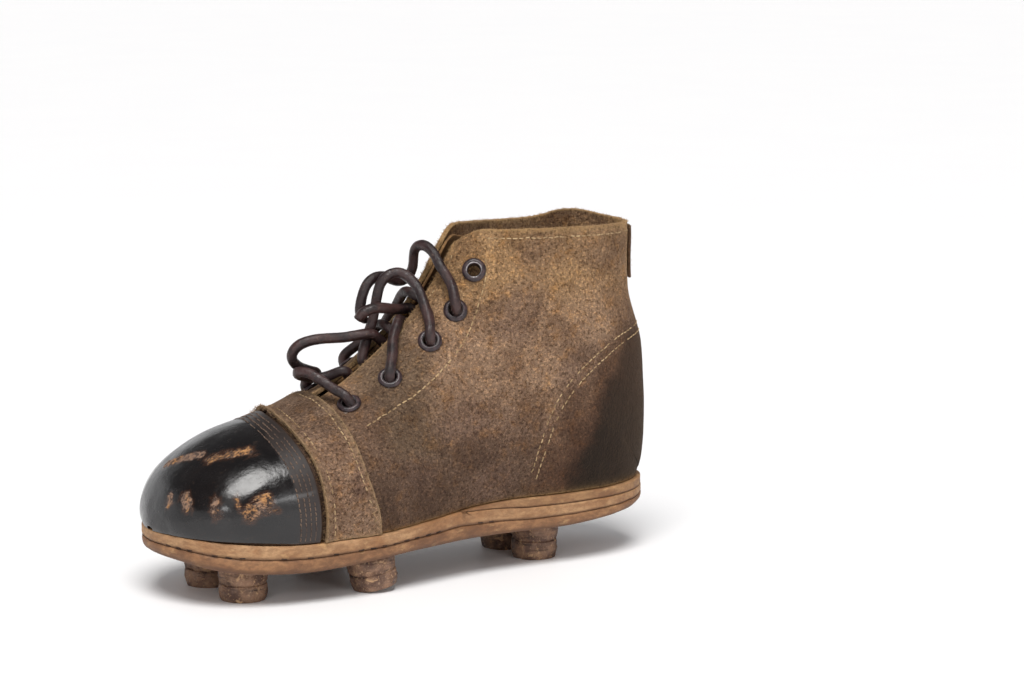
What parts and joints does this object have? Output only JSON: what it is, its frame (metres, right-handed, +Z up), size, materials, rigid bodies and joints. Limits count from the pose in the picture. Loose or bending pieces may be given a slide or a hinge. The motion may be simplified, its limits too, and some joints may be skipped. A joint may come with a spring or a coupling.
{
  "type": "soccer cleat",
  "caption": "Vintage left football boot in brown leather: ankle-high laced upper, hard toe cap, instep strap, layered leather sole and round nailed leather studs.",
  "frame": {"origin": "centre of the boot's footprint on the ground under its studs", "axes": "+X towards the heel, -X to the toe, -Y the outer side, +Z up"},
  "size_m": [0.2285, 0.0891, 0.1434],
  "materials": {
    "sole_leather": "worn natural sole leather",
    "insole_leather": "smooth worn leather",
    "stud_leather": "rough stacked leather",
    "nail_steel": "dull worn steel",
    "cap_leather": "glossy hardened leather with scuffs",
    "stiffener": "raw leather",
    "upper_suede": "rough-out suede",
    "lining_leather": "soft worn leather",
    "eyelet_enamel": "dark enamel worn to bare metal",
    "lace_leather": "dry waxed leather thong"
  },
  "bodies": {
    "boot": {"outsole": "sole_leather", "midsole": "sole_leather", "heel_wedge": "sole_leather", "insole": "insole_leather", "stud_front_near_upper": "stud_leather", "stud_front_near_lower": "stud_leather", "stud_front_far_upper": "stud_leather", "stud_front_far_lower": "stud_leather", "stud_middle_near_upper": "stud_leather", "stud_middle_near_lower": "stud_leather", "stud_middle_far_upper": "stud_leather", "stud_middle_far_lower": "stud_leather", "stud_heel_near_upper": "stud_leather", "stud_heel_near_lower": "stud_leather", "stud_heel_far_upper": "stud_leather", "stud_heel_far_lower": "stud_leather", "nail_front_near_1": "nail_steel", "nail_front_near_2": "nail_steel", "nail_front_near_3": "nail_steel", "nail_front_far_1": "nail_steel", "nail_front_far_2": "nail_steel", "nail_front_far_3": "nail_steel", "nail_middle_near_1": "nail_steel", "nail_middle_near_2": "nail_steel", "nail_middle_near_3": "nail_steel", "nail_middle_far_1": "nail_steel", "nail_middle_far_2": "nail_steel", "nail_middle_far_3": "nail_steel", "nail_heel_near_1": "nail_steel", "nail_heel_near_2": "nail_steel", "nail_heel_near_3": "nail_steel", "nail_heel_far_1": "nail_steel", "nail_heel_far_2": "nail_steel", "nail_heel_far_3": "nail_steel", "toe_cap": "cap_leather", "toe_puff": "stiffener", "vamp": "upper_suede", "instep_strap": "upper_suede", "quarter_near": "upper_suede", "quarter_far": "upper_suede", "heel_counter": "upper_suede", "back_strip": "upper_suede", "facing_near": "lining_leather", "facing_far": "lining_leather", "counter_lining": "lining_leather", "eyelet_near_1": "eyelet_enamel", "eyelet_near_2": "eyelet_enamel", "eyelet_near_3": "eyelet_enamel", "eyelet_near_4": "eyelet_enamel", "eyelet_near_5": "eyelet_enamel", "eyelet_far_1": "eyelet_enamel", "eyelet_far_2": "eyelet_enamel", "eyelet_far_3": "eyelet_enamel", "eyelet_far_4": "eyelet_enamel", "eyelet_far_5": "eyelet_enamel", "lace": "lace_leather"},
    "tongue": {"tongue": "lining_leather"}
  },
  "joints": [
    {"name": "tongue_fold", "type": "hinge", "parent": "boot", "child": "tongue", "pos_m": [-0.05546, 0, 0.06618], "axis": [0, 1, 0], "range_deg": [0, 16]}
  ]
}
